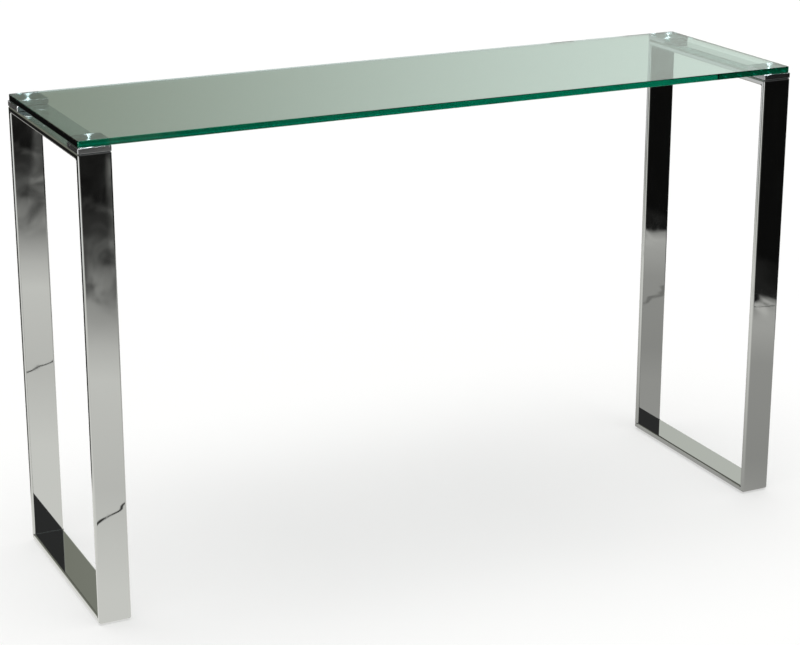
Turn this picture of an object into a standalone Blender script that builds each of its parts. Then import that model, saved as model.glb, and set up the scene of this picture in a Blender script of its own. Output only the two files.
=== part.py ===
"""Console table: a slab of float glass on two closed loop frames of flat chromed tube.

X runs along the table's length, Y from its front to its back, and Z up from the floor, in metres.
The origin is on the floor, under the middle of the glass.
"""

import math

import bmesh
import bpy
from mathutils import Matrix

# Overall sizes of the table.
LENGTH = 1.200
DEPTH = 0.350
HEIGHT = 0.740

# Touching pieces stand this far apart.
TOUCH_GAP = 0.0003

# Flat rectangular tube of the two loop frames. Its width lies along X.
TUBE_WIDTH = 0.050
TUBE_THICKNESS = 0.010
TUBE_WALL = 0.0015
TUBE_EDGE_RADIUS = 0.003

# Glass slab, set back a little from the frames' outer faces.
GLASS_THICKNESS = 0.010
GLASS_SETBACK = 0.0015
GLASS_CORNER_RADIUS = 0.003
GLASS_ARRIS = 0.0008

# Square steel pads between frame and glass, as wide as the tube.
PAD_SIDE = TUBE_WIDTH
PAD_THICKNESS = 0.008
PAD_CORNER_RADIUS = 0.002
PAD_CHAMFER = 0.0005
PAD_SKIN = 0.002

# Button-head screws, one up through each end of a top rail into a pad.
SCREW_DIAMETER = 0.006
SCREW_HEAD_DIAMETER = 0.0105
SCREW_HEAD_HEIGHT = 0.0033
SCREW_HEAD_RIM = 0.001
SCREW_TIP_CLEARANCE = 0.0005
SOCKET_ACROSS_FLATS = 0.004
SOCKET_DEPTH = 0.0018
THREAD_CLEARANCE = 0.0003

# Washers that the screw heads press on, inside the tube.
WASHER_DIAMETER = 0.012
WASHER_THICKNESS = 0.0012
SCREW_HOLE_CLEARANCE = 0.0004

# The holes in the tube's lower wall that a head and its washer pass through.
ACCESS_CLEARANCE = 0.001

# Stick-on plastic glides under the bottom rails.
GLIDE_DIAMETER = 0.022
GLIDE_THICKNESS = 0.002
GLIDE_CHAMFER = 0.0006
GLIDE_FROM_END = 0.030

ROUND_STEPS = 32
EDGE_STEPS = 3

# Places that follow from the sizes.
FRAME_BOTTOM = GLIDE_THICKNESS + TOUCH_GAP
GLASS_BOTTOM = HEIGHT - GLASS_THICKNESS
PAD_BOTTOM = GLASS_BOTTOM - TOUCH_GAP - PAD_THICKNESS
FRAME_TOP = PAD_BOTTOM - TOUCH_GAP
FRAME_HEIGHT = FRAME_TOP - FRAME_BOTTOM
FRAME_X = (LENGTH - TUBE_WIDTH) / 2
PAD_X = (LENGTH - PAD_SIDE) / 2
PAD_Y = (DEPTH - PAD_SIDE) / 2
GLIDE_Y = DEPTH / 2 - GLIDE_FROM_END
WASHER_TOP = FRAME_TOP - TUBE_WALL - TOUCH_GAP
HEAD_TOP = WASHER_TOP - WASHER_THICKNESS - TOUCH_GAP
PAD_HOLE_TOP = PAD_BOTTOM + PAD_THICKNESS - PAD_SKIN
SCREW_TIP = PAD_HOLE_TOP - SCREW_TIP_CLEARANCE
ACCESS_RADIUS = WASHER_DIAMETER / 2 + ACCESS_CLEARANCE
SCREW_HOLE_RADIUS = SCREW_DIAMETER / 2 + SCREW_HOLE_CLEARANCE

SIDES = {"left": -1, "right": 1}
ENDS = {"front": -1, "rear": 1}


def make_material(name, colour, roughness, metallic, transmission=0.0):
    """A Principled material of one colour."""
    material = bpy.data.materials.new(name)
    material.use_nodes = True
    shader = material.node_tree.nodes["Principled BSDF"]
    shader.inputs["Base Color"].default_value = (*colour, 1.0)
    shader.inputs["Roughness"].default_value = roughness
    shader.inputs["Metallic"].default_value = metallic
    shader.inputs["Transmission Weight"].default_value = transmission
    material.diffuse_color = (*colour, 1.0)
    return material


def make_object(name, bm, material=None, parent=None):
    """Turns a bmesh into an object, with round faces smooth and its edges sharp."""
    bmesh.ops.recalc_face_normals(bm, faces=bm.faces)
    mesh = bpy.data.meshes.new(name)
    bm.to_mesh(mesh)
    bm.free()
    mesh.shade_smooth()
    mesh.set_sharp_from_angle(angle=math.radians(35))
    if material:
        mesh.materials.append(material)
    obj = bpy.data.objects.new(name, mesh)
    bpy.context.scene.collection.objects.link(obj)
    obj.parent = parent
    return obj


def make_empty(name, location, parent=None):
    """A reference point that pieces hang from."""
    empty = bpy.data.objects.new(name, None)
    bpy.context.scene.collection.objects.link(empty)
    empty.location = location
    empty.parent = parent
    return empty


def cut(obj, cutter):
    """Takes the cutter's shape out of the object, and hides the cutter."""
    cutter.hide_render = True
    cutter.display_type = "WIRE"
    modifier = obj.modifiers.new(cutter.name, "BOOLEAN")
    modifier.operation = "DIFFERENCE"
    modifier.solver = "EXACT"
    modifier.object = cutter


def upright(edge):
    """True for an edge that runs along Z."""
    run = edge.verts[1].co - edge.verts[0].co
    return abs(run.z) > max(abs(run.x), abs(run.y))


def slab_bmesh(size_x, size_y, size_z, corner_radius, chamfer):
    """A slab centred on the origin, with rounded upright corners and chamfered rims."""
    bm = bmesh.new()
    bmesh.ops.create_cube(bm, size=1.0)
    bmesh.ops.scale(bm, vec=(size_x, size_y, size_z), verts=bm.verts)
    corners = [edge for edge in bm.edges if upright(edge)]
    bmesh.ops.bevel(
        bm,
        geom=corners,
        offset=corner_radius,
        segments=EDGE_STEPS,
        profile=0.5,
        affect="EDGES",
        material=-1,
    )
    rims = [edge for edge in bm.edges if not upright(edge)]
    bmesh.ops.bevel(
        bm, geom=rims, offset=chamfer, segments=1, profile=0.5, affect="EDGES", material=-1
    )
    return bm


def turned_bmesh(profile, steps=ROUND_STEPS):
    """A solid turned about Z. The profile is a list of (radius, z) points.

    A profile whose ends are both on the axis makes a solid piece, and a closed one makes a ring.
    """
    bm = bmesh.new()
    points = [bm.verts.new((radius, 0, z)) for radius, z in profile]
    for start, end in zip(points, points[1:]):
        bm.edges.new((start, end))
    if profile[0][0] > 0:
        bm.edges.new((points[-1], points[0]))
    bmesh.ops.spin(
        bm,
        geom=bm.verts[:] + bm.edges[:],
        cent=(0, 0, 0),
        axis=(0, 0, 1),
        angle=math.tau,
        steps=steps,
        use_merge=True,
    )
    bmesh.ops.remove_doubles(bm, verts=bm.verts, dist=1e-6)
    return bm


def mitred_tube_bmesh(length):
    """A hollow tube along Z, mitred at 45 degrees at both ends, with +Y on the loop's outer side."""
    bm = bmesh.new()
    bmesh.ops.create_grid(bm, x_segments=1, y_segments=1, size=0.5)
    bmesh.ops.scale(bm, vec=(TUBE_WIDTH, TUBE_THICKNESS, 1), verts=bm.verts)
    bmesh.ops.bevel(
        bm,
        geom=bm.verts[:],
        offset=TUBE_EDGE_RADIUS,
        segments=EDGE_STEPS,
        profile=0.5,
        affect="VERTICES",
        material=-1,
    )
    section = bm.faces[:]
    bmesh.ops.inset_region(
        bm, faces=section, thickness=TUBE_WALL, use_even_offset=True, use_boundary=True
    )
    bmesh.ops.delete(bm, geom=section, context="FACES_ONLY")
    extruded = bmesh.ops.extrude_face_region(bm, geom=bm.faces[:], use_keep_orig=True)
    far_end = {item for item in extruded["geom"] if isinstance(item, bmesh.types.BMVert)}
    weld_gap = TOUCH_GAP / 2 * math.sqrt(2)
    for vert in bm.verts:
        reach = length / 2 - (TUBE_THICKNESS / 2 - vert.co.y) - weld_gap
        vert.co.z = reach if vert in far_end else -reach
    return bm


def screw_hole_cutter(name, x, y):
    """A stepped plug: the access hole below, and the screw's own hole through the upper wall."""
    middle = FRAME_TOP - TUBE_THICKNESS / 2
    profile = [
        (0, middle - TUBE_THICKNESS),
        (ACCESS_RADIUS, middle - TUBE_THICKNESS),
        (ACCESS_RADIUS, middle),
        (SCREW_HOLE_RADIUS, middle),
        (SCREW_HOLE_RADIUS, middle + TUBE_THICKNESS),
        (0, middle + TUBE_THICKNESS),
    ]
    cutter = make_object(name, turned_bmesh(profile))
    cutter.location = (x, y, 0)
    return cutter


def make_frame(side, sign, material, parent):
    """One loop frame: two legs and two rails of flat tube, mitred and welded at the corners."""
    frame = make_empty(f"{side}_frame", (sign * FRAME_X, 0, 0), parent)
    leg_y = (DEPTH - TUBE_THICKNESS) / 2
    leg_z = FRAME_BOTTOM + FRAME_HEIGHT / 2
    for end, end_sign in ENDS.items():
        leg = make_object(f"{side}_frame_{end}_leg", mitred_tube_bmesh(FRAME_HEIGHT), material, frame)
        leg.location = (0, end_sign * leg_y, leg_z)
        leg.rotation_euler = (0, 0, 0 if end_sign > 0 else math.pi)
    bottom = make_object(f"{side}_frame_bottom_rail", mitred_tube_bmesh(DEPTH), material, frame)
    bottom.location = (0, 0, FRAME_BOTTOM + TUBE_THICKNESS / 2)
    bottom.rotation_euler = (-math.pi / 2, 0, 0)
    top = make_object(f"{side}_frame_top_rail", mitred_tube_bmesh(DEPTH), material, frame)
    top.location = (0, 0, FRAME_TOP - TUBE_THICKNESS / 2)
    top.rotation_euler = (math.pi / 2, 0, 0)
    for end, end_sign in ENDS.items():
        cut(top, screw_hole_cutter(f"{side}_{end}_screw_hole_cutter", sign * PAD_X, end_sign * PAD_Y))


def make_pad(corner, x, y, material, parent):
    """A square pad with a blind hole for its screw in the underside."""
    bm = slab_bmesh(PAD_SIDE, PAD_SIDE, PAD_THICKNESS, PAD_CORNER_RADIUS, PAD_CHAMFER)
    pad = make_object(f"corner_pad_{corner}", bm, material, parent)
    pad.location = (x, y, PAD_BOTTOM + PAD_THICKNESS / 2)
    hole_radius = SCREW_DIAMETER / 2 + THREAD_CLEARANCE
    start = PAD_BOTTOM - PAD_THICKNESS
    profile = [(0, start), (hole_radius, start), (hole_radius, PAD_HOLE_TOP), (0, PAD_HOLE_TOP)]
    cutter = make_object(f"{corner}_pad_hole_cutter", turned_bmesh(profile))
    cutter.location = (x, y, 0)
    cut(pad, cutter)


def make_screw(corner, x, y, material, parent):
    """A button-head screw pointing up, with a hexagon socket in its head."""
    head_bottom = HEAD_TOP - SCREW_HEAD_HEIGHT
    head_radius = SCREW_HEAD_DIAMETER / 2
    crown_radius = head_radius * 0.62
    profile = [
        (0, SCREW_TIP),
        (SCREW_DIAMETER / 2, SCREW_TIP),
        (SCREW_DIAMETER / 2, HEAD_TOP),
        (head_radius, HEAD_TOP),
        (head_radius, HEAD_TOP - SCREW_HEAD_RIM),
        (crown_radius, head_bottom),
        (0, head_bottom),
    ]
    screw = make_object(f"pad_screw_{corner}", turned_bmesh(profile), material, parent)
    screw.location = (x, y, 0)
    bm = bmesh.new()
    socket_radius = SOCKET_ACROSS_FLATS / math.sqrt(3)
    bmesh.ops.create_cone(
        bm,
        cap_ends=True,
        segments=6,
        radius1=socket_radius,
        radius2=socket_radius,
        depth=2 * SOCKET_DEPTH,
    )
    socket = make_object(f"{corner}_socket_cutter", bm)
    socket.location = (x, y, head_bottom)
    cut(screw, socket)


def make_washer(corner, x, y, material, parent):
    """A flat washer under a screw's head."""
    outer = WASHER_DIAMETER / 2
    low = WASHER_TOP - WASHER_THICKNESS
    profile = [
        (SCREW_HOLE_RADIUS, low),
        (outer, low),
        (outer, WASHER_TOP),
        (SCREW_HOLE_RADIUS, WASHER_TOP),
    ]
    washer = make_object(f"screw_washer_{corner}", turned_bmesh(profile), material, parent)
    washer.location = (x, y, 0)


def make_glide(corner, x, y, material, parent):
    """A thin round glide that the bottom rail stands on."""
    radius = GLIDE_DIAMETER / 2
    profile = [
        (0, 0),
        (radius - GLIDE_CHAMFER, 0),
        (radius, GLIDE_CHAMFER),
        (radius, GLIDE_THICKNESS),
        (0, GLIDE_THICKNESS),
    ]
    glide = make_object(f"floor_glide_{corner}", turned_bmesh(profile), material, parent)
    glide.location = (x, y, 0)


def make_glass(material, parent):
    """The glass slab, with its ground and polished edges."""
    bm = slab_bmesh(
        LENGTH - 2 * GLASS_SETBACK,
        DEPTH - 2 * GLASS_SETBACK,
        GLASS_THICKNESS,
        GLASS_CORNER_RADIUS,
        GLASS_ARRIS,
    )
    bmesh.ops.transform(
        bm, matrix=Matrix.Translation((0, 0, GLASS_THICKNESS / 2)), verts=bm.verts
    )
    glass = make_object("glass_top", bm, material, parent)
    glass.location = (0, 0, GLASS_BOTTOM)


def main():
    for obj in list(bpy.data.objects):
        bpy.data.objects.remove(obj)

    chrome = make_material("chromed_tube", (0.66, 0.67, 0.66), 0.06, 1.0)
    glass = make_material("float_glass", (0.62, 0.76, 0.70), 0.0, 0.0, transmission=1.0)
    steel = make_material("turned_steel", (0.55, 0.55, 0.54), 0.28, 1.0)
    zinc = make_material("zinc_plate", (0.60, 0.60, 0.58), 0.35, 1.0)
    nylon = make_material("grey_nylon", (0.12, 0.12, 0.12), 0.55, 0.0)

    table = make_empty("console_table", (0, 0, 0))
    make_glass(glass, table)
    for side, side_sign in SIDES.items():
        make_frame(side, side_sign, chrome, table)
        for end, end_sign in ENDS.items():
            corner = f"{end}_{side}"
            x = side_sign * PAD_X
            y = end_sign * PAD_Y
            make_pad(corner, x, y, steel, table)
            make_screw(corner, x, y, zinc, table)
            make_washer(corner, x, y, zinc, table)
            make_glide(corner, side_sign * FRAME_X, end_sign * GLIDE_Y, nylon, table)


main()
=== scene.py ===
"""Looks of the console table: a float glass slab, chromed loop frames, pads, fixings and glides.

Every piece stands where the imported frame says, in metres, with Z up from the floor.
"""

import logging
import math
from collections.abc import Iterable
from dataclasses import dataclass
from enum import Enum
from typing import Any

import bmesh
import bpy
from mathutils import Matrix, Vector


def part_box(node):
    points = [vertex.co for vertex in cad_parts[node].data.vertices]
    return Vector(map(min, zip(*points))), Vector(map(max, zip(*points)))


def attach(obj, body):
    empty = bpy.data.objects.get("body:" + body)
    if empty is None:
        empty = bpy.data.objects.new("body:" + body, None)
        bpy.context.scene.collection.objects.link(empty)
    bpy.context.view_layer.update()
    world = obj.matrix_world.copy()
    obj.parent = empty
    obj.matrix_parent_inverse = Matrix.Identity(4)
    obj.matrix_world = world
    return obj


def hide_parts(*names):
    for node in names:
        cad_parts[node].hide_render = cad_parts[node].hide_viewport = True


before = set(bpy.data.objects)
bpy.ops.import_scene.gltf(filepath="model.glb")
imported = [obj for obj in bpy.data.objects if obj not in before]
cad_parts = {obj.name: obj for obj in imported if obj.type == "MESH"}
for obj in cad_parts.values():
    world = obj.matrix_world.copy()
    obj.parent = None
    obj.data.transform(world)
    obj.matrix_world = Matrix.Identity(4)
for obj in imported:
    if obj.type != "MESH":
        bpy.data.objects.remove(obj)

LOG = logging.getLogger("console_table")
MM = 0.001
BODY = "root"
SHARP_ANGLE = math.radians(40)

Colour = tuple[float, float, float, float]
Stops = list[tuple[float, Colour]]
Levels = tuple[tuple[float, float], ...]
Place = tuple[float, float, float]
Feed = bpy.types.Node | bpy.types.NodeSocket
Tree = bpy.types.NodeTree
Piece = bpy.types.Object
Shape = bmesh.types.BMesh
Edge = bmesh.types.BMEdge


class Side(Enum):
    """The table's left and right frames, by the sign of their X."""

    LEFT = -1
    RIGHT = 1


class End(Enum):
    """The table's front and rear, by the sign of their Y."""

    FRONT = -1
    REAR = 1


class Slot(Enum):
    """The record's material slots."""

    CHROME = "chromed_tube"
    GLASS = "float_glass"
    TURNED_STEEL = "turned_steel"
    ZINC = "zinc_plate"
    NYLON = "grey_nylon"


# ---------------------------------------------------------------- small tools


def srgb(hex_code: str) -> Colour:
    """Turns an sRGB hex colour to linear.

    Args:
        hex_code: six hexadecimal digits.

    Returns:
        The linear colour, with an alpha of 1.
    """
    shares = [int(hex_code[i : i + 2], 16) / 255 for i in (0, 2, 4)]
    red, green, blue = (
        share / 12.92 if share <= 0.04045 else ((share + 0.055) / 1.055) ** 2.4 for share in shares
    )
    return red, green, blue, 1.0


def grey(level: float) -> Colour:
    """A linear grey of that level."""
    return level, level, level, 1.0


def add_node(
    tree: Tree,
    kind: str,
    sockets: dict[str | int, Any] | None = None,
    stops: Stops | None = None,
    **settings: Any,
) -> bpy.types.Node:
    """Adds a node with its settings, its values and its links.

    Args:
        tree: the node tree that gets it.
        kind: the node's type name, without the prefix that all of them share.
        sockets: for each input, a value, the output that feeds it, or a node whose result does.
        stops: a colour ramp's positions and colours, in rising order.
        **settings: the node's own properties.

    Returns:
        The new node.
    """
    node = tree.nodes.new(f"ShaderNode{kind}")
    for name, value in settings.items():
        setattr(node, name, value)
    for name, value in (sockets or {}).items():
        if isinstance(value, bpy.types.Node):
            value = next(output for output in value.outputs if output.enabled)
        if isinstance(value, bpy.types.NodeSocket):
            tree.links.new(value, node.inputs[name])
        else:
            node.inputs[name].default_value = value
    if stops:
        elements = node.color_ramp.elements
        while len(elements) < len(stops):
            elements.new(1.0)
        for element, (position, colour) in zip(elements, stops):
            element.position = position
            element.color = colour
    return node


def new_material(name: str) -> tuple[bpy.types.Material, Tree]:
    """Makes an empty node material.

    Args:
        name: the finish it stands for.

    Returns:
        The material and its node tree.
    """
    material = bpy.data.materials.new(name)
    material.use_nodes = True
    material.node_tree.nodes.clear()
    return material, material.node_tree


# ------------------------------------------------------------------- finishes


@dataclass(frozen=True)
class ChromiumPlate:
    """Bright chromium plate on buffed steel tube: a cool grey mirror, bent a little by buffing."""

    plate: str = "C3C5C4"
    clear_roughness: float = 0.018
    hazy_roughness: float = 0.060
    ripple_length: float = 85 * MM
    ripple_height: float = 0.030 * MM
    peel_length: float = 2.5 * MM
    peel_height: float = 0.0004 * MM
    smear_length: float = 28 * MM
    # The smear noise is clear below the first level and fully smeared above the second.
    smear_from: float = 0.42
    smear_to: float = 0.78

    def material(self) -> bpy.types.Material:
        """Builds the plate, with long ripples, fine peel and wiped smears."""
        material, tree = new_material("bright_chromium_plate")
        place = add_node(tree, "TexCoord").outputs["Object"]
        ripple = add_node(
            tree,
            "TexNoise",
            {"Vector": place, "Scale": 1 / self.ripple_length, "Detail": 1.0, "Roughness": 0.4},
        )
        peel = add_node(
            tree, "TexNoise", {"Vector": place, "Scale": 1 / self.peel_length, "Detail": 2.0}
        )
        # Wiping leaves smears that run along the tube, so they are drawn out three times as long.
        stretched = add_node(tree, "Mapping", {"Vector": place, "Scale": (1.0, 0.33, 0.33)})
        smear = add_node(
            tree,
            "TexNoise",
            {"Vector": stretched, "Scale": 1 / self.smear_length, "Detail": 5.0, "Roughness": 0.62},
        )
        haze = add_node(
            tree,
            "MapRange",
            {
                0: smear,
                1: self.smear_from,
                2: self.smear_to,
                3: self.clear_roughness,
                4: self.hazy_roughness,
            },
            interpolation_type="SMOOTHSTEP",
        )
        rippled = add_node(
            tree, "Bump", {"Height": ripple, "Distance": self.ripple_height, "Strength": 1.0}
        )
        peeled = add_node(
            tree,
            "Bump",
            {"Height": peel, "Distance": self.peel_height, "Strength": 1.0, "Normal": rippled},
        )
        shader = add_node(
            tree,
            "BsdfPrincipled",
            {"Base Color": srgb(self.plate), "Metallic": 1.0, "Roughness": haze, "Normal": peeled},
        )
        add_node(tree, "OutputMaterial", {"Surface": shader})
        return material


@dataclass(frozen=True)
class FloatGlass:
    """Float glass with polished edges: nearly colourless through its face, deep green edge on."""

    ior: float = 1.52
    # What a metre takes from red light, and what green and blue keep of that.
    red_absorption: float = 17.0
    passed: tuple[float, float, float, float] = (0.0, 0.75, 0.66, 1.0)
    clear_roughness: float = 0.0
    wiped_roughness: float = 0.02
    smear_length: float = 60 * MM
    # The smear noise is clear below the first level and fully smeared above the second.
    smear_from: float = 0.5
    smear_to: float = 0.8
    roll_length: float = 180 * MM
    roll_height: float = 0.02 * MM

    def material(self) -> bpy.types.Material:
        """Builds the glass, its tint in its depth, with the faint bow that a float line leaves."""
        material, tree = new_material("clear_float_glass_polished_edge")
        place = add_node(tree, "TexCoord").outputs["Object"]
        roll = add_node(
            tree, "TexNoise", {"Vector": place, "Scale": 1 / self.roll_length, "Detail": 0.0}
        )
        smear = add_node(
            tree,
            "TexNoise",
            {"Vector": place, "Scale": 1 / self.smear_length, "Detail": 6.0, "Roughness": 0.65},
        )
        wiped = add_node(
            tree,
            "MapRange",
            {
                0: smear,
                1: self.smear_from,
                2: self.smear_to,
                3: self.clear_roughness,
                4: self.wiped_roughness,
            },
            interpolation_type="SMOOTHSTEP",
        )
        bowed = add_node(
            tree, "Bump", {"Height": roll, "Distance": self.roll_height, "Strength": 1.0}
        )
        shader = add_node(
            tree,
            "BsdfPrincipled",
            {
                "Base Color": grey(1.0),
                "Roughness": wiped,
                "IOR": self.ior,
                "Transmission Weight": 1.0,
                "Normal": bowed,
            },
        )
        depth = add_node(
            tree, "VolumeAbsorption", {"Color": self.passed, "Density": self.red_absorption}
        )
        add_node(tree, "OutputMaterial", {"Surface": shader, "Volume": depth})
        return material


@dataclass(frozen=True)
class TurnedSteel:
    """Stainless steel faced on a lathe: its rings stretch each light into a bow tie.

    The pad's sides are ground smooth, so they mirror the dark room.
    """

    pad_centre: tuple[float, float]
    ground_steel: str = "C9CBCD"
    # The turned face is painted a darker steel than the ground sides: painted shade that stands in
    # for what its rings hide of the room it would mirror.
    steel: str = "7D8285"
    shaded_dull_steel: str = "62676A"
    roughness: float = 0.38
    side_roughness: float = 0.16
    anisotropy: float = 1.0
    # Real rings are 0.1 mm apart, too fine to show, so they are drawn four times as coarse.
    ring_spacing: float = 0.4 * MM
    ring_height: float = 0.002 * MM
    # A face whose normal's Z is under the first is a side; over the second, it is the turned top.
    side_slope: float = 0.4
    top_slope: float = 0.9

    def material(self) -> bpy.types.Material:
        """Builds the steel, its rings centred on each pad through the table's two mirror planes."""
        material, tree = new_material("turned_stainless_steel")
        place = add_node(tree, "TexCoord").outputs["Object"]
        size = add_node(tree, "VectorMath", {0: place}, operation="ABSOLUTE")
        sign = add_node(tree, "VectorMath", {0: place, 1: size}, operation="DIVIDE")
        centre = add_node(
            tree, "VectorMath", {0: sign, 1: (*self.pad_centre, 0.0)}, operation="MULTIPLY"
        )
        apart = add_node(tree, "VectorMath", {0: place, 1: centre}, operation="SUBTRACT")
        arm = add_node(tree, "VectorMath", {0: apart, 1: (1.0, 1.0, 0.0)}, operation="MULTIPLY")
        radius = add_node(tree, "VectorMath", {0: arm}, operation="LENGTH")
        facing = add_node(tree, "NewGeometry").outputs["True Normal"]
        upright = add_node(tree, "SeparateXYZ", {0: facing}).outputs["Z"]
        flat = add_node(tree, "Math", {0: upright}, operation="ABSOLUTE")
        turned = add_node(tree, "MapRange", {0: flat, 1: self.side_slope, 2: self.top_slope})
        # The rings slope along the radius, so the shine spreads that way.
        # The sides are ground upright.
        outwards = add_node(tree, "VectorMath", {0: arm}, operation="NORMALIZE")
        tangent = add_node(
            tree, "Mix", {"Factor": turned, 4: (0.0, 0.0, 1.0), 5: outwards}, data_type="VECTOR"
        )
        turns = add_node(
            tree, "Math", {0: radius, 1: math.tau / self.ring_spacing}, operation="MULTIPLY"
        )
        ring = add_node(tree, "Math", {0: turns}, operation="SINE")
        # Each ring's own depth and tone, so the rings aren't all alike.
        tone = add_node(
            tree,
            "TexNoise",
            {"W": radius, "Scale": 0.35 / self.ring_spacing, "Detail": 2.0},
            noise_dimensions="1D",
        )
        height = add_node(tree, "Math", {0: ring, 1: tone}, operation="MULTIPLY")
        grooved = add_node(
            tree, "Bump", {"Height": height, "Distance": self.ring_height, "Strength": 1.0}
        )
        # Painted shade: both ring steels are darker than the ground sides' steel.
        shaded_ring_steel = add_node(
            tree,
            "Mix",
            {"Factor": tone, 6: srgb(self.shaded_dull_steel), 7: srgb(self.steel)},
            data_type="RGBA",
        )
        base = add_node(
            tree, "Mix", {"Factor": turned, 6: srgb(self.ground_steel), 7: shaded_ring_steel}, data_type="RGBA"
        )
        shine = add_node(tree, "MapRange", {0: turned, 3: self.side_roughness, 4: self.roughness})
        shader = add_node(
            tree,
            "BsdfPrincipled",
            {
                "Base Color": base,
                "Metallic": 1.0,
                "Roughness": shine,
                "Anisotropic": self.anisotropy,
                "Tangent": tangent,
                "Normal": grooved,
            },
        )
        add_node(tree, "OutputMaterial", {"Surface": shader})
        return material


@dataclass(frozen=True)
class ZincPlate:
    """Bright zinc plate with a clear passivate: bluish grey with straw clouds and a soft shine."""

    blue_zinc: str = "B4BCC6"
    straw_zinc: str = "C2BDAE"
    smooth: float = 0.22
    dull: float = 0.42
    cloud_length: float = 3.0 * MM
    grain_length: float = 0.35 * MM
    grain_height: float = 0.006 * MM

    def material(self) -> bpy.types.Material:
        """Builds the zinc, with clouds in colour and shine over a fine grain."""
        material, tree = new_material("bright_zinc_plate")
        place = add_node(tree, "TexCoord").outputs["Object"]
        cloud = add_node(
            tree, "TexNoise", {"Vector": place, "Scale": 1 / self.cloud_length, "Detail": 4.0}
        )
        grain = add_node(
            tree, "TexNoise", {"Vector": place, "Scale": 1 / self.grain_length, "Detail": 2.0}
        )
        base = add_node(
            tree,
            "Mix",
            {"Factor": cloud, 6: srgb(self.blue_zinc), 7: srgb(self.straw_zinc)},
            data_type="RGBA",
        )
        shine = add_node(tree, "MapRange", {0: cloud, 1: 0.3, 2: 0.7, 3: self.smooth, 4: self.dull})
        grained = add_node(
            tree, "Bump", {"Height": grain, "Distance": self.grain_height, "Strength": 1.0}
        )
        shader = add_node(
            tree,
            "BsdfPrincipled",
            {"Base Color": base, "Metallic": 1.0, "Roughness": shine, "Normal": grained},
        )
        add_node(tree, "OutputMaterial", {"Surface": shader})
        return material


@dataclass(frozen=True)
class MouldedNylon:
    """Grey moulded nylon: a satin skin with the mould's fine spark texture and a few scuffs."""

    nylon: str = "6C6E70"
    scuffed: str = "85878A"
    roughness: float = 0.5
    scuffed_roughness: float = 0.68
    spark_length: float = 0.45 * MM
    spark_height: float = 0.02 * MM
    scuff_length: float = 5 * MM
    # The scuff noise is whole below the first level and fully scuffed above the second.
    scuff_from: float = 0.48
    scuff_to: float = 0.66

    def material(self) -> bpy.types.Material:
        """Builds the nylon, with scuffs that dull it and pale it."""
        material, tree = new_material("moulded_grey_nylon")
        place = add_node(tree, "TexCoord").outputs["Object"]
        spark = add_node(
            tree, "TexNoise", {"Vector": place, "Scale": 1 / self.spark_length, "Detail": 3.0}
        )
        scuff = add_node(
            tree,
            "TexNoise",
            {"Vector": place, "Scale": 1 / self.scuff_length, "Detail": 6.0, "Roughness": 0.7},
        )
        worn = add_node(
            tree,
            "MapRange",
            {0: scuff, 1: self.scuff_from, 2: self.scuff_to},
            interpolation_type="SMOOTHSTEP",
        )
        base = add_node(
            tree,
            "Mix",
            {"Factor": worn, 6: srgb(self.nylon), 7: srgb(self.scuffed)},
            data_type="RGBA",
        )
        shine = add_node(tree, "MapRange", {0: worn, 3: self.roughness, 4: self.scuffed_roughness})
        textured = add_node(
            tree, "Bump", {"Height": spark, "Distance": self.spark_height, "Strength": 1.0}
        )
        shader = add_node(
            tree, "BsdfPrincipled", {"Base Color": base, "Roughness": shine, "Normal": textured}
        )
        add_node(tree, "OutputMaterial", {"Surface": shader})
        return material


# --------------------------------------------------------------------- shapes


@dataclass(frozen=True)
class Extent:
    """A box in the table's frame, from its lowest corner to its highest."""

    low: Vector
    high: Vector

    @classmethod
    def of_nodes(cls, *names: str) -> "Extent":
        """Gives the box round some of the frame's nodes.

        Args:
            *names: the nodes' names.

        Returns:
            The box that holds them all.
        """
        boxes = [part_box(name) for name in names]
        low = Vector(min(box[0][axis] for box in boxes) for axis in range(3))
        high = Vector(max(box[1][axis] for box in boxes) for axis in range(3))
        return cls(low, high)

    @property
    def size(self) -> Vector:
        """The box's three sides."""
        return self.high - self.low

    @property
    def centre(self) -> Vector:
        """The middle of the box."""
        return (self.low + self.high) / 2

    def shrunk(self, by: float) -> "Extent":
        """The box with every face moved inwards."""
        inwards = Vector((by, by, by))
        return Extent(self.low + inwards, self.high - inwards)


def edges_along(bm: Shape, axis: int) -> list[Edge]:
    """Lists the edges that run along one axis.

    Args:
        bm: the mesh.
        axis: 0, 1 or 2 for X, Y or Z.

    Returns:
        Those of its edges that are straight along the axis.
    """
    found = []
    for edge in bm.edges:
        run = edge.verts[1].co - edge.verts[0].co
        if abs(run[axis]) > 0.999 * run.length:
            found.append(edge)
    return found


def edges_at(bm: Shape, axis: int, place: float, within: float = 1e-5) -> list[Edge]:
    """Lists the edges that lie in a plane across one axis.

    Args:
        bm: the mesh.
        axis: 0, 1 or 2 for X, Y or Z.
        place: where the plane is on that axis.
        within: how far off it a vertex may be.

    Returns:
        Those of its edges with both ends in the plane.
    """
    return [
        edge for edge in bm.edges if all(abs(vert.co[axis] - place) < within for vert in edge.verts)
    ]


def round_over(
    bm: Shape, edges: Iterable[Edge], radius: float, segments: int, held_back: bool = True
) -> None:
    """Rounds some edges, or chamfers them with one segment.

    Args:
        bm: the mesh.
        edges: the edges to round.
        radius: how far the rounding reaches from each edge.
        segments: the strips it is made of.
        held_back: whether a rounding that would run into another is made smaller.
    """
    bmesh.ops.bevel(
        bm,
        geom=list(edges),
        offset=radius,
        segments=segments,
        profile=0.5,
        affect="EDGES",
        material=-1,
        clamp_overlap=held_back,
    )


def slab(extent: Extent) -> Shape:
    """Makes a plain block that fills a box.

    Args:
        extent: the box.

    Returns:
        The block, as a mesh to be shaped.
    """
    bm = bmesh.new()
    bmesh.ops.create_cube(bm, size=1.0)
    bmesh.ops.scale(bm, vec=extent.size, verts=bm.verts)
    bmesh.ops.translate(bm, vec=extent.centre, verts=bm.verts)
    return bm


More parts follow.
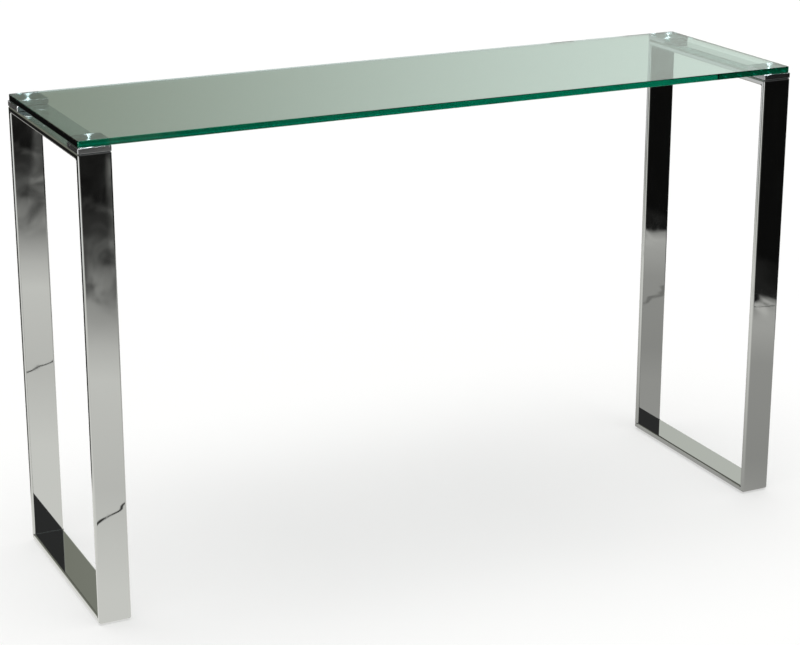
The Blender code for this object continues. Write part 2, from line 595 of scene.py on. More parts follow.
def disc(x: float, y: float, low: float, high: float, radius: float, segments: int) -> Shape:
    """Makes an upright cylinder.

    Args:
        x: its axis's X.
        y: its axis's Y.
        low: the height of its underside.
        high: the height of its top.
        radius: its radius.
        segments: the flats round it.

    Returns:
        The cylinder, as a mesh to be shaped.
    """
    bm = bmesh.new()
    bmesh.ops.create_cone(
        bm, cap_ends=True, segments=segments, radius1=radius, radius2=radius, depth=high - low
    )
    bmesh.ops.translate(bm, vec=(x, y, (low + high) / 2), verts=bm.verts)
    return bm


def place_object(name: str, bm: Shape) -> Piece:
    """Puts a mesh in the scene as an object at the origin.

    Args:
        name: the object's name.
        bm: its mesh, which is freed.

    Returns:
        The object.
    """
    bmesh.ops.recalc_face_normals(bm, faces=bm.faces)
    mesh = bpy.data.meshes.new(name)
    bm.to_mesh(mesh)
    bm.free()
    obj = bpy.data.objects.new(name, mesh)
    bpy.context.scene.collection.objects.link(obj)
    return obj


def apply_modifiers(obj: Piece) -> None:
    """Makes an object's live modifiers part of its mesh."""
    graph = bpy.context.evaluated_depsgraph_get()
    mesh = bpy.data.meshes.new_from_object(
        obj.evaluated_get(graph), preserve_all_data_layers=True, depsgraph=graph
    )
    obj.modifiers.clear()
    obj.data = mesh


def carve(obj: Piece, cutters: list[Shape]) -> None:
    """Takes shapes out of an object.

    Args:
        obj: the object.
        cutters: the closed shapes to take away, each of which is freed.
    """
    helpers = []
    for bm in cutters:
        helper = place_object(f"{obj.name}_cutter", bm)
        modifier = obj.modifiers.new("cut", "BOOLEAN")
        modifier.operation = "DIFFERENCE"
        modifier.solver = "EXACT"
        modifier.object = helper
        helpers.append(helper)
    apply_modifiers(obj)
    for helper in helpers:
        bpy.data.meshes.remove(helper.data)


def smooth_faces(obj: Piece) -> None:
    """Shades round faces smooth, with flat faces kept flat up to their edges."""
    obj.data.shade_smooth()
    obj.data.set_sharp_from_angle(angle=SHARP_ANGLE)
    modifier = obj.modifiers.new("flat_faces_lead", "WEIGHTED_NORMAL")
    modifier.mode = "FACE_AREA"
    modifier.weight = 100
    modifier.keep_sharp = True
    apply_modifiers(obj)


def finish_piece(
    obj: Piece, material: bpy.types.Material, replaced: Iterable[str]
) -> None:
    """Dresses a finished piece and lets it stand for its nodes.

    Args:
        obj: the piece, in its place.
        material: its finish.
        replaced: the frame's nodes that it stands for.
    """
    smooth_faces(obj)
    obj.data.materials.clear()
    obj.data.materials.append(material)
    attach(obj, BODY)
    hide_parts(*replaced)
    LOG.info("%s: %d faces, finish %s", obj.name, len(obj.data.polygons), material.name)


# --------------------------------------------------------------- sub-assemblies


@dataclass
class LoopFrame:
    """One closed loop of flat tube, welded at its mitres, ground flush and plated as one piece."""

    side: Side
    material: bpy.types.Material
    wall: float = 1.5 * MM
    edge_radius: float = 3.0 * MM
    edge_segments: int = 6
    outer_corner_radius: float = 3.5 * MM
    inner_corner_radius: float = 0.5 * MM
    access_radius: float = 7.0 * MM
    screw_hole_radius: float = 3.4 * MM
    round_segments: int = 48

    def nodes(self) -> list[str]:
        """The frame's nodes that make this loop."""
        name = self.side.name.lower()
        return [
            f"{name}_frame_{part}" for part in ("front_leg", "rear_leg", "top_rail", "bottom_rail")
        ]

    def ring(self, extent: Extent, thickness: float) -> Shape:
        """Makes a loop of square-edged bar round a window.

        Args:
            extent: the box that the loop fills.
            thickness: the bar's thickness, from the box's sides inwards.

        Returns:
            The loop, as a mesh to be shaped.
        """
        bm = bmesh.new()
        bmesh.ops.create_grid(bm, x_segments=1, y_segments=1, size=0.5)
        bmesh.ops.rotate(bm, matrix=Matrix.Rotation(math.pi / 2, 3, "Y"), verts=bm.verts)
        bmesh.ops.scale(bm, vec=(1.0, extent.size.y, extent.size.z), verts=bm.verts)
        start = Vector((extent.low.x, extent.centre.y, extent.centre.z))
        bmesh.ops.translate(bm, vec=start, verts=bm.verts)
        band = bmesh.ops.inset_region(
            bm, faces=bm.faces[:], thickness=thickness, use_even_offset=True, use_boundary=True
        )["faces"]
        window = [face for face in bm.faces if face not in band]
        bmesh.ops.delete(bm, geom=window, context="FACES_ONLY")
        pulled = bmesh.ops.extrude_face_region(bm, geom=bm.faces[:], use_keep_orig=True)
        moved = [item for item in pulled["geom"] if isinstance(item, bmesh.types.BMVert)]
        bmesh.ops.translate(bm, vec=(extent.size.x, 0, 0), verts=moved)
        return bm

    def round_bar(self, bm: Shape, extent: Extent) -> None:
        """Rounds the loop's corners, then the tube's long edges.

        Args:
            bm: the square-edged loop.
            extent: the box that it fills.
        """
        outer, inner = [], []
        for edge in edges_along(bm, 0):
            place = edge.verts[0].co
            on_outside = abs(abs(place.y - extent.centre.y) - extent.size.y / 2) < 1e-5
            (outer if on_outside else inner).append(edge)
        round_over(bm, outer, self.outer_corner_radius, self.edge_segments)
        round_over(bm, edges_along_inside(bm, extent), self.inner_corner_radius, 2)
        rims = edges_at(bm, 0, extent.low.x) + edges_at(bm, 0, extent.high.x)
        square = [edge for edge in rims if edge.calc_face_angle(0.0) > math.radians(60)]
        round_over(bm, square, self.edge_radius, self.edge_segments, held_back=False)

    def build(self) -> Piece:
        """Builds the hollow loop, opens its screw holes and dresses it."""
        extent = Extent.of_nodes(*self.nodes())
        thickness = Extent.of_nodes(self.nodes()[0]).size.y
        bm = self.ring(extent, thickness)
        self.round_bar(bm, extent)
        loop = place_object(f"{self.side.name.lower()}_loop_frame", bm)
        cutters = [self.ring(extent.shrunk(self.wall), thickness - 2 * self.wall)]
        for end in End:
            washer = Extent.of_nodes(f"screw_washer_{end.name.lower()}_{self.side.name.lower()}")
            x, y, _ = washer.centre
            middle = extent.high.z - thickness / 2
            cutters.append(
                disc(x, y, middle - thickness, middle, self.access_radius, self.round_segments)
            )
            cutters.append(
                disc(x, y, middle, middle + thickness, self.screw_hole_radius, self.round_segments)
            )
        carve(loop, cutters)
        finish_piece(loop, self.material, self.nodes())
        return loop


def edges_along_inside(bm: Shape, extent: Extent) -> list[Edge]:
    """Lists the edges along X at the corners of a loop's window.

    Args:
        bm: the loop.
        extent: the box that it fills.

    Returns:
        The edges along X that are well inside the box's outline.
    """
    half_depth = extent.size.y / 2
    found = []
    for edge in edges_along(bm, 0):
        place = edge.verts[0].co - extent.centre
        beside = half_depth - abs(place.y)
        above = extent.size.z / 2 - abs(place.z)
        if min(beside, above) > 5 * MM:
            found.append(edge)
    return found


@dataclass
class GlassTop:
    """The slab of float glass: corners eased, edges ground flat, arrissed and polished."""

    material: bpy.types.Material
    corner_radius: float = 3.0 * MM
    corner_segments: int = 8
    arris: float = 0.8 * MM

    def build(self) -> Piece:
        """Builds the slab and dresses it."""
        extent = Extent.of_nodes("glass_top")
        bm = slab(extent)
        round_over(bm, edges_along(bm, 2), self.corner_radius, self.corner_segments)
        rims = edges_at(bm, 2, extent.low.z) + edges_at(bm, 2, extent.high.z)
        round_over(bm, rims, self.arris, 1)
        glass = place_object("glass_slab", bm)
        finish_piece(glass, self.material, ["glass_top"])
        return glass


@dataclass
class CornerFixing:
    """A square pad that carries one corner of the glass, with its screw and washer."""

    side: Side
    end: End
    steel: bpy.types.Material
    zinc: bpy.types.Material
    pad_corner_radius: float = 2.0 * MM
    pad_rim: float = 0.5 * MM
    screw_bore_radius: float = 3.3 * MM
    pad_skin: float = 2.0 * MM
    thread_radius: float = 3.0 * MM
    head_height: float = 3.3 * MM
    head_dome: float = 2.0 * MM
    socket_across_flats: float = 4.0 * MM
    socket_depth: float = 1.8 * MM
    washer_bore_radius: float = 3.4 * MM
    washer_edge: float = 0.15 * MM
    round_segments: int = 48

    @property
    def corner(self) -> str:
        """The corner's name in the frame's nodes."""
        return f"{self.end.name.lower()}_{self.side.name.lower()}"

    def build_pad(self) -> Piece:
        """Builds the pad, with a blind bore for its screw."""
        node = f"corner_pad_{self.corner}"
        extent = Extent.of_nodes(node)
        bm = slab(extent)
        round_over(bm, edges_along(bm, 2), self.pad_corner_radius, 5)
        rims = edges_at(bm, 2, extent.low.z) + edges_at(bm, 2, extent.high.z)
        round_over(bm, rims, self.pad_rim, 3)
        pad = place_object(f"turned_pad_{self.corner}", bm)
        x, y, _ = extent.centre
        bore = disc(
            x,
            y,
            extent.low.z - 1 * MM,
            extent.high.z - self.pad_skin,
            self.screw_bore_radius,
            self.round_segments,
        )
        carve(pad, [bore])
        finish_piece(pad, self.steel, [node])
        return pad

    def build_screw(self) -> Piece:
        """Builds the button-head screw, head down, with its hexagon socket."""
        node = f"pad_screw_{self.corner}"
        extent = Extent.of_nodes(node)
        x, y, _ = extent.centre
        head_top = extent.low.z + self.head_height
        bm = disc(x, y, extent.low.z, head_top, extent.size.x / 2, self.round_segments)
        round_over(bm, edges_at(bm, 2, extent.low.z), self.head_dome, 5)
        under_head = [face for face in bm.faces if face.normal.z > 0.99]
        bmesh.ops.inset_region(
            bm, faces=under_head, thickness=extent.size.x / 2 - self.thread_radius
        )
        raised = bmesh.ops.extrude_face_region(bm, geom=under_head)
        moved = [item for item in raised["geom"] if isinstance(item, bmesh.types.BMVert)]
        bmesh.ops.delete(bm, geom=under_head, context="FACES_ONLY")
        bmesh.ops.translate(bm, vec=(0, 0, extent.high.z - head_top), verts=moved)
        round_over(bm, edges_at(bm, 2, extent.high.z), 0.5 * MM, 1)
        screw = place_object(f"button_screw_{self.corner}", bm)
        socket = disc(
            x,
            y,
            extent.low.z - self.socket_depth,
            extent.low.z + self.socket_depth,
            self.socket_across_flats / math.sqrt(3),
            6,
        )
        carve(screw, [socket])
        finish_piece(screw, self.zinc, [node])
        return screw

    def build_washer(self) -> Piece:
        """Builds the flat washer under the screw's head."""
        node = f"screw_washer_{self.corner}"
        extent = Extent.of_nodes(node)
        x, y, _ = extent.centre
        bm = disc(x, y, extent.low.z, extent.high.z, extent.size.x / 2, self.round_segments)
        rims = edges_at(bm, 2, extent.low.z) + edges_at(bm, 2, extent.high.z)
        round_over(bm, rims, self.washer_edge, 2)
        washer = place_object(f"flat_washer_{self.corner}", bm)
        bore = disc(
            x,
            y,
            extent.low.z - 1 * MM,
            extent.high.z + 1 * MM,
            self.washer_bore_radius,
            self.round_segments,
        )
        carve(washer, [bore])
        finish_piece(washer, self.zinc, [node])
        return washer

    def build(self) -> Piece:
        """Builds the pad, the screw and the washer, and returns the pad."""
        self.build_screw()
        self.build_washer()
        return self.build_pad()


@dataclass
class FloorGlide:
    """A round stick-on glide under one end of a bottom rail."""

    side: Side
    end: End
    material: bpy.types.Material
    sole_radius: float = 0.8 * MM
    top_radius: float = 0.25 * MM
    round_segments: int = 64

    def build(self) -> Piece:
        """Builds the glide and dresses it."""
        node = f"floor_glide_{self.end.name.lower()}_{self.side.name.lower()}"
        extent = Extent.of_nodes(node)
        x, y, _ = extent.centre
        bm = disc(x, y, extent.low.z, extent.high.z, extent.size.x / 2, self.round_segments)
        round_over(bm, edges_at(bm, 2, extent.low.z), self.sole_radius, 4)
        round_over(bm, edges_at(bm, 2, extent.high.z), self.top_radius, 2)
        glide = place_object(f"nylon_glide_{self.end.name.lower()}_{self.side.name.lower()}", bm)
        finish_piece(glide, self.material, [node])
        return glide


# --------------------------------------------------------------------- studio


def mirror_share(tree: Tree) -> Feed:
    """Tells light seen in a mirror from all other light.

    Args:
        tree: the node tree that gets the nodes.

    Returns:
        The output that is 1 in a mirror, and 0 through glass or otherwise.
    """
    path = add_node(tree, "LightPath")
    return add_node(
        tree,
        "Math",
        {0: path.outputs["Is Glossy Ray"], 1: path.outputs["Is Transmission Ray"]},
        operation="SUBTRACT",
        use_clamp=True,
    )


def distance_past(tree: Tree, place: Feed, point: Place, across: Place) -> Feed:
    """Measures how far a place is past a straight line on the floor.

    Args:
        tree: the node tree that gets the nodes.
        place: the place.
        point: a point on the line.
        across: the unit direction across it.

    Returns:
        The output that holds the distance.
    """
    offset = add_node(tree, "VectorMath", {0: place, 1: point}, operation="SUBTRACT")
    return add_node(tree, "VectorMath", {0: offset, 1: across}, operation="DOT_PRODUCT")


@dataclass(frozen=True)
class Background:
    """The studio's background, which turns from olive grey to near white by its bearing."""

    left: str = "87897C"
    right: str = "DFE2DA"
    left_bearing: float = math.radians(11)
    right_bearing: float = math.radians(38)

    def colour(self, tree: Tree, direction: Feed) -> Feed:
        """Gives the background's colour in a direction.

        Args:
            tree: the node tree that gets the nodes.
            direction: the direction.

        Returns:
            The output that holds the colour.
        """
        parts = add_node(tree, "SeparateXYZ", {0: direction}).outputs
        bearing = add_node(tree, "Math", {0: parts["X"], 1: parts["Y"]}, operation="ARCTAN2")
        share = add_node(
            tree,
            "MapRange",
            {0: bearing, 1: self.left_bearing, 2: self.right_bearing},
            interpolation_type="SMOOTHSTEP",
        )
        return add_node(
            tree,
            "Mix",
            {"Factor": share, 6: srgb(self.left), 7: srgb(self.right)},
            data_type="RGBA",
        )


@dataclass(frozen=True)
class DarkLine:
    """A dark line painted across the paper's mirrored level, out of the camera's sight."""

    point: Place
    across: Place
    reach: float = 0.28
    half_width: float = 0.0028
    left_over: float = 0.05
    bend_length: float = 0.06
    bend: float = 0.05

    def clear_share(self, tree: Tree, place: Feed) -> Feed:
        """Gives what the painted dark line leaves of the paper's level.

        Args:
            tree: the paper's node tree.
            place: the place on the paper.

        Returns:
            The output that is small on the line and 1 away from it.
        """
        wave = add_node(
            tree, "TexNoise", {"Vector": place, "Scale": 1 / self.bend_length, "Detail": 1.0}
        )
        swing = add_node(tree, "Math", {0: wave, 1: 0.5}, operation="SUBTRACT")
        straight = distance_past(tree, place, self.point, self.across)
        bent = add_node(
            tree, "Math", {0: swing, 1: self.bend, 2: straight}, operation="MULTIPLY_ADD"
        )
        off = add_node(tree, "Math", {0: bent}, operation="ABSOLUTE")
        clear = add_node(
            tree,
            "MapRange",
            {0: off, 1: 0.6 * self.half_width, 2: 1.4 * self.half_width, 3: self.left_over, 4: 1.0},
        )
        away = add_node(tree, "VectorMath", {0: place, 1: self.point}, operation="DISTANCE")
        beyond = add_node(tree, "MapRange", {0: away, 1: self.reach, 2: 1.15 * self.reach})
        return add_node(tree, "Math", {0: clear, 1: beyond}, operation="MAXIMUM")


@dataclass(frozen=True)
class Card:
    """An upright white card out of the camera's sight, which lightens the chrome that faces it."""

    name: str
    width: float
    height: float
    foot: Place
    level: float

    def build(self) -> Piece:
        """Stands the card on its foot's middle, with its face across X."""
        bm = bmesh.new()
        bmesh.ops.create_grid(bm, x_segments=1, y_segments=1, size=0.5)
        bmesh.ops.rotate(bm, matrix=Matrix.Rotation(math.pi / 2, 3, "Y"), verts=bm.verts)
        bmesh.ops.scale(bm, vec=(1.0, self.width, self.height), verts=bm.verts)
        middle = Vector(self.foot) + Vector((0.0, 0.0, self.height / 2))
        bmesh.ops.translate(bm, vec=middle, verts=bm.verts)
        card = place_object(self.name, bm)
        material, tree = new_material("white_card")
        glow = add_node(tree, "Emission", {"Color": grey(1.0), "Strength": self.level})
        add_node(tree, "OutputMaterial", {"Surface": glow})
        card.data.materials.append(material)
        card.visible_camera = False
        card.visible_diffuse = False
        card.visible_transmission = False
        card.visible_shadow = False
        return card


@dataclass(frozen=True)
class Paper:
    """The white paper that the table stands on.

    The camera sees it plain. Mirrors see how brightly each part of it is lit, and the dark room
    past its edges, which gives the chrome its depth.
    """

    background: Background
    size: float = 80.0
    white: str = "F6F6F5"
    # The share of its white that no shadow dims.
    glow: float = 0.5
    # The lamps make it a little warm.
    warm: Place = (1.0, 0.99, 0.945)
    # Its front edge: a point on it and the way in, then its levels by the distance in.
    front_point: Place = (-0.06, -1.72, 0.0)
    front_inwards: Place = (-0.473, 0.881, 0.0)
    levels_from: float = -0.9
    levels_to: float = 1.6
    left_levels: Levels = (
        (-0.82, 0.005),
        (-0.72, 0.08),
        (-0.22, 0.11),
        (0.00, 0.26),
        (0.35, 0.75),
        (0.55, 0.92),
        (1.10, 0.83),
        (1.50, 0.99),
    )
    right_levels: Levels = (
        (-0.02, 0.01),
        (0.02, 0.50),
        (0.10, 0.62),
        (0.40, 0.46),
        (0.90, 0.42),
        (1.10, 0.48),
    )
    left_until: float = -0.1
    right_from: float = 0.6
    # The curl of the front edge is drawn out in depth, as are the folds of cloth in front of it.
    fold_across: Place = (13.0, 4.2, 0.0)
    fold_along: Place = (0.0, 3.6, 0.0)
    loose_curl: float = 0.40
    tight_curl: float = 0.05
    curl_from: float = -0.15
    curl_to: float = 0.2
    # How the folds deepen the dark and lift the light between them.
    fold_low: float = 0.38
    fold_high: float = 0.62
    fold_dark: float = 0.55
    fold_light: float = 1.6
    soft_edge: float = 0.02
    # A pale strip stands in the dark in front: where it starts, how it leans, and its level.
    strip_start: float = -0.653
    strip_lean: float = 0.33
    strip_end: float = 0.6
    strip_level: float = 0.17
    # The dark place at the left, behind: its nearest Y, its point, and how it falls back along Y.
    dark_from: float = 0.36
    dark_point: tuple[float, float] = (-0.69, 0.55)
    dark_slope: float = 0.25
    dark_left: float = 0.035
    right_edge: float = 1.38
    fade_from: float = 0.5
    fade_to: float = 2.9
    faded: float = 0.3
    darkest: float = 0.006
    # Dark lines painted into the level that mirrors see.
    dark_lines: tuple[DarkLine, ...] = (
        DarkLine((-0.448, -0.572, 0.0), (0.66, 0.75, 0.0)),
        DarkLine((1.01, -0.51, 0.0), (0.55, 0.835, 0.0), half_width=0.006, left_over=0.6),
        DarkLine((1.19, -1.03, 0.0), (-0.47, 0.88, 0.0), reach=0.07, bend_length=0.03),
    )
    # What glass lets through: the paper near the table, then the background past it.
    open_level: float = 0.86
    open_until: float = 0.6
    background_from: float = 2.7
    viewpoint: Place = (-1.43, -2.92, 0.0)

    def front_level(self, tree: Tree, distance: Feed, levels: Levels) -> Feed:
        """Gives the level by the distance in from the front edge.

        Args:
            tree: the paper's node tree.
            distance: the distance in.
            levels: pairs of a distance and its level.

        Returns:
            The output that holds the level.
        """
        span = self.levels_to - self.levels_from
        share = add_node(tree, "MapRange", {0: distance, 1: self.levels_from, 2: self.levels_to})
        stops = [((at - self.levels_from) / span, grey(level)) for at, level in levels]
        return add_node(tree, "ValToRGB", {0: share}, stops=stops)

    def mirrored_level(self, tree: Tree, place: Feed) -> Feed:
        """Gives the level that mirrors see, from the bright middle to the dark past the edges.

        Args:
            tree: the paper's node tree.
            place: the place on the paper.

        Returns:
            The output that holds the level.
        """
        x, y, _ = add_node(tree, "SeparateXYZ", {0: place}).outputs
        across, along = (
            add_node(tree, "VectorMath", {0: place, 1: run}, operation="DOT_PRODUCT")
            for run in (self.fold_across, self.fold_along)
        )
        drawn_out = add_node(tree, "CombineXYZ", {0: across, 1: along})
        fold = add_node(tree, "TexNoise", {"Vector": drawn_out, "Scale": 1.0, "Distortion": 0.6})
        straight = distance_past(tree, place, self.front_point, self.front_inwards)
        inside = add_node(
            tree,
            "MapRange",
            {0: straight, 1: self.curl_from, 2: self.curl_to},
            interpolation_type="SMOOTHSTEP",
        )
        curl = add_node(tree, "MapRange", {0: inside, 3: self.loose_curl, 4: self.tight_curl})
        swing = add_node(tree, "Math", {0: fold, 1: 0.5}, operation="SUBTRACT")
        distance = add_node(
            tree, "Math", {0: swing, 1: curl, 2: straight}, operation="MULTIPLY_ADD"
        )
        rightness = add_node(tree, "MapRange", {0: x, 1: self.left_until, 2: self.right_from})
        front = add_node(
            tree,
            "Mix",
            {
                "Factor": rightness,
                2: self.front_level(tree, distance, self.left_levels),
                3: self.front_level(tree, distance, self.right_levels),
            },
            data_type="FLOAT",
        )
        folded = add_node(
            tree,
            "MapRange",
            {0: fold, 1: self.fold_low, 2: self.fold_high, 3: self.fold_dark, 4: self.fold_light},
            interpolation_type="SMOOTHSTEP",
        )
        evened = add_node(tree, "Mix", {"Factor": inside, 2: folded, 3: 1.0}, data_type="FLOAT")
        leant = add_node(tree, "Math", {0: y, 1: self.strip_lean, 2: x}, operation="MULTIPLY_ADD")
        past_start = add_node(
            tree,
            "MapRange",
            {
                0: leant,
                1: self.strip_start,
                2: self.strip_start + self.soft_edge,
                4: self.strip_level,
            },
        )
        before_end = add_node(
            tree, "MapRange", {0: x, 1: self.strip_end + self.soft_edge, 2: self.strip_end}
        )
        strip = add_node(tree, "Math", {0: past_start, 1: before_end}, operation="MULTIPLY")
        level = add_node(tree, "Math", {0: front, 1: strip}, operation="MAXIMUM")
        right = add_node(
            tree, "MapRange", {0: x, 1: self.right_edge + 2 * self.soft_edge, 2: self.right_edge}
        )
        behind = add_node(
            tree,
            "MapRange",
            {0: y, 1: self.fade_from, 2: self.fade_to, 3: 1.0, 4: self.faded},
            interpolation_type="SMOOTHSTEP",
        )
        for share in (
            evened,
            self.left_share(tree, x, y),
            right,
            behind,
            *(dark_line.clear_share(tree, place) for dark_line in self.dark_lines),
        ):
            level = add_node(tree, "Math", {0: level, 1: share}, operation="MULTIPLY")
        return add_node(tree, "Math", {0: level, 1: self.darkest}, operation="ADD")

    def left_share(self, tree: Tree, x: Feed, y: Feed) -> Feed:
        """Gives what the dark place at the left leaves of the level.

        Args:
            tree: the paper's node tree.
            x: the place's X.
            y: the place's Y.

        Returns:
            The output that is small in the dark place and 1 away from it.
        """
        tip_x, tip_y = self.dark_point
        squared = add_node(tree, "Math", {0: y, 1: self.dark_slope, 2: x}, operation="MULTIPLY_ADD")
        edge = tip_x + self.dark_slope * tip_y
        beside = add_node(
            tree,
            "MapRange",
            {
                0: squared,
                1: edge - self.soft_edge,
                2: edge + self.soft_edge,
                3: self.dark_left,
                4: 1.0,
            },
        )
        before = add_node(
            tree, "MapRange", {0: y, 1: self.dark_from + 0.05, 2: self.dark_from - 0.05}
        )
        return add_node(tree, "Math", {0: beside, 1: before}, operation="MAXIMUM")

    def open_colour(self, tree: Tree, place: Feed) -> Feed:
        """Gives the colour that glass lets through: pale near the table, the background's far off.

        Args:
            tree: the paper's node tree.
            place: the place on the paper.

        Returns:
            The output that holds the colour.
        """
        y = add_node(tree, "SeparateXYZ", {0: place}).outputs["Y"]
        farness = add_node(
            tree,
            "MapRange",
            {0: y, 1: self.open_until, 2: self.background_from},
            interpolation_type="SMOOTHSTEP",
        )
        offset = add_node(tree, "VectorMath", {0: place, 1: self.viewpoint}, operation="SUBTRACT")
        return add_node(
            tree,
            "Mix",
            {"Factor": farness, 6: grey(self.open_level), 7: self.background.colour(tree, offset)},
            data_type="RGBA",
        )

    def build(self) -> Piece:
        """Lays the paper."""
        bm = bmesh.new()
        bmesh.ops.create_grid(bm, x_segments=1, y_segments=1, size=self.size / 2)
        floor = place_object("studio_floor", bm)
        material, tree = new_material("white_background_paper")
        place = add_node(tree, "TexCoord").outputs["Object"]
        path = add_node(tree, "LightPath")
        warmed = add_node(
            tree,
            "VectorMath",
            {0: self.mirrored_level(tree, place), 1: self.warm},
            operation="MULTIPLY",
        )
        unseen = add_node(
            tree,
            "Mix",
            {"Factor": mirror_share(tree), 6: self.open_colour(tree, place), 7: warmed},
            data_type="RGBA",
        )
        lit = add_node(tree, "BsdfDiffuse", {"Color": srgb(self.white)})
        white = add_node(tree, "Emission", {"Color": srgb(self.white)})
        seen = add_node(tree, "MixShader", {0: self.glow, 1: lit, 2: white})
        level = add_node(tree, "Emission", {"Color": unseen})
        surface = add_node(tree, "MixShader", {0: path.outputs["Is Camera Ray"], 1: level, 2: seen})
        add_node(tree, "OutputMaterial", {"Surface": surface})
        floor.data.materials.append(material)
        return floor


@dataclass(frozen=True)
class Room:
    """The room round the paper: white to the camera, dark in front and overhead to mirrors."""

    background: Background
    dark: float = 0.006
    upper: float = 0.07
    # What glass lets through of the front, and what lights the paper.
    open_front: float = 0.35
    sky: float = 0.5
    # Sines of the elevations where the background ends and the dark ceiling starts.
    background_top: float = 0.50
    ceiling_from: float = 0.68
    # The overhead lamp as mirrors see it: its soft rim, its full width and its level.
    lamp_rim: float = math.cos(math.radians(40))
    lamp_full: float = math.cos(math.radians(20))
    lamp_level: float = 0.6

    def build(self) -> None:
        """Builds the room as the world."""
        world = bpy.data.worlds.new("studio_room")
        bpy.context.scene.world = world
        world.use_nodes = True
        tree = world.node_tree
        tree.nodes.clear()
        direction = add_node(tree, "TexCoord").outputs["Generated"]
        _, y, z = add_node(tree, "SeparateXYZ", {0: direction}).outputs
        path = add_node(tree, "LightPath")
        dark_front = add_node(
            tree,
            "MapRange",
            {0: z, 1: 0.05, 2: 0.35, 3: self.dark, 4: self.upper},
            interpolation_type="SMOOTHSTEP",
        )
        front = add_node(
            tree,
            "Mix",
            {"Factor": mirror_share(tree), 2: self.open_front, 3: dark_front},
            data_type="FLOAT",
        )
        rearness = add_node(
            tree, "MapRange", {0: y, 1: 0.0, 2: 0.35}, interpolation_type="SMOOTHSTEP"
        )
        around = add_node(
            tree,
            "Mix",
            {"Factor": rearness, 6: front, 7: self.background.colour(tree, direction)},
            data_type="RGBA",
        )
        above = add_node(
            tree,
            "MapRange",
            {0: z, 1: self.lamp_rim, 2: self.lamp_full, 3: self.upper, 4: self.lamp_level},
            interpolation_type="SMOOTHSTEP",
        )
        height = add_node(
            tree,
            "MapRange",
            {0: z, 1: self.background_top, 2: self.ceiling_from},
            interpolation_type="SMOOTHSTEP",
        )
        reflected = add_node(tree, "Mix", {"Factor": height, 6: around, 7: above}, data_type="RGBA")
        level = add_node(
            tree,
            "Mix",
            {"Factor": path.outputs["Is Glossy Ray"], 6: grey(self.sky), 7: reflected},
            data_type="RGBA",
        )
        colour = add_node(
            tree,
            "Mix",
            {"Factor": path.outputs["Is Camera Ray"], 6: level, 7: grey(1.0)},
            data_type="RGBA",
        )
        surface = add_node(tree, "Background", {"Color": colour})
        add_node(tree, "OutputWorld", {"Surface": surface})


@dataclass(frozen=True)
class Lamp:
    """A soft lamp overhead that shines straight down."""

    name: str
    strength: float
    angle: float

    def build(self) -> Piece:
        """Hangs the lamp, which mirrors and glass see as the room draws it."""
        lamp = bpy.data.lights.new(self.name, "SUN")
        lamp.energy = self.strength
        lamp.angle = self.angle
        obj = bpy.data.objects.new(self.name, lamp)
        obj.location = (0.0, 0.0, 3.0)
        obj.visible_glossy = False
        obj.visible_transmission = False
        bpy.context.scene.collection.objects.link(obj)
        return obj

    def build_for(self, lit: list[Piece], in_its_way: list[Piece]) -> Piece:
        """Hangs a lamp that only some pieces shine in, as the bonded pads do through the glass.

        Args:
            lit: the pieces that it lights.
            in_its_way: the pieces that shade them.

        Returns:
            The lamp.
        """
        obj = self.build()
        obj.visible_glossy = True
        obj.visible_diffuse = False
        receivers = bpy.data.collections.new(f"{self.name}_lights")
        blockers = bpy.data.collections.new(f"{self.name}_shades")
        for collection, pieces in ((receivers, lit), (blockers, in_its_way)):
            for piece in pieces:
                collection.objects.link(piece)
        obj.light_linking.receiver_collection = receivers
        obj.light_linking.blocker_collection = blockers
        return obj


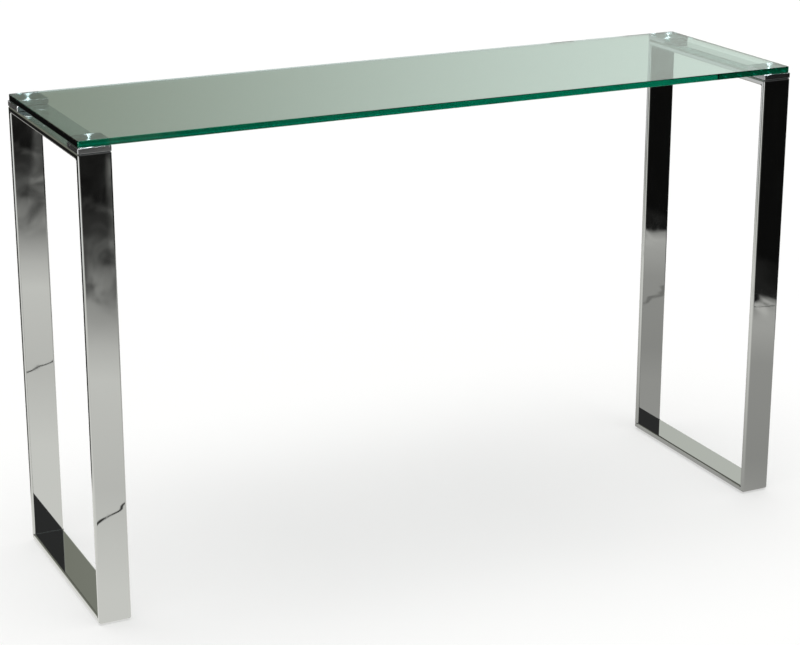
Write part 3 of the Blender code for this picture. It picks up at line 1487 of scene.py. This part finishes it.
@dataclass
class Studio:
    """The paper, the room, two white cards and the soft lamps overhead."""

    cards: tuple[Card, ...] = (
        Card("tall_card", 1.4, 1.5, (-2.2, -0.8, 0.05), 1.3),
        Card("low_card", 1.1, 0.35, (-0.66, 1.85, 0.0), 0.8),
    )
    softbox: Lamp = Lamp("overhead_softbox", 2.2, math.radians(60))
    spot: Lamp = Lamp("overhead_spot", 13.0, math.radians(20))

    def build(self, pads: list[Piece], frames: list[Piece]) -> None:
        """Builds it all, and sets how light is followed and shown.

        Args:
            pads: the turned pads, which the spot makes shine.
            frames: the frames, which may shade them.
        """
        background = Background()
        Paper(background).build()
        Room(background).build()
        for card in self.cards:
            card.build()
        self.softbox.build()
        self.spot.build_for(pads, frames)
        scene = bpy.context.scene
        scene.view_settings.view_transform = "Standard"
        scene.view_settings.look = "None"
        # Light crosses the slab edge to edge by many inner reflections.
        scene.cycles.max_bounces = 24
        scene.cycles.glossy_bounces = 16
        scene.cycles.transmission_bounces = 16
        LOG.info("studio: paper, room, %d cards and two lamps overhead", len(self.cards))


@dataclass
class ViewCamera:
    """The camera in front of the table's left end, a little above its top."""

    place: tuple[float, float, float] = (-1.433, -2.919, 1.417)
    yaw: float = math.radians(25.85)
    pitch: float = math.radians(17.49)
    lens: float = 94.55
    shift_y: float = -0.04

    def build(self) -> Piece:
        """Makes the camera the scene's own."""
        data = bpy.data.cameras.new("view_camera")
        data.lens = self.lens
        data.sensor_width = 36.0
        data.sensor_fit = "HORIZONTAL"
        data.shift_y = self.shift_y
        data.clip_start = 0.05
        data.clip_end = 200.0
        camera = bpy.data.objects.new("view_camera", data)
        camera.location = self.place
        camera.rotation_euler = (math.pi / 2 - self.pitch, 0.0, -self.yaw)
        bpy.context.scene.collection.objects.link(camera)
        bpy.context.scene.camera = camera
        LOG.info("camera: lens %.1f mm", self.lens)
        return camera


def main() -> None:
    """Builds the table and its studio."""
    logging.basicConfig(level=logging.INFO, format="%(name)s: %(message)s")
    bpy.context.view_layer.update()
    pad = Extent.of_nodes("corner_pad_rear_right").centre
    chrome = ChromiumPlate().material()
    glass = FloatGlass().material()
    steel = TurnedSteel(pad_centre=(pad.x, pad.y)).material()
    zinc = ZincPlate().material()
    nylon = MouldedNylon().material()
    pads, frames = [], []
    for side in Side:
        frames.append(LoopFrame(side, chrome).build())
        for end in End:
            pads.append(CornerFixing(side, end, steel, zinc).build())
            FloorGlide(side, end, nylon).build()
    GlassTop(glass).build()
    Studio().build(pads, frames)
    ViewCamera().build()


if __name__ == "__main__":
    main()
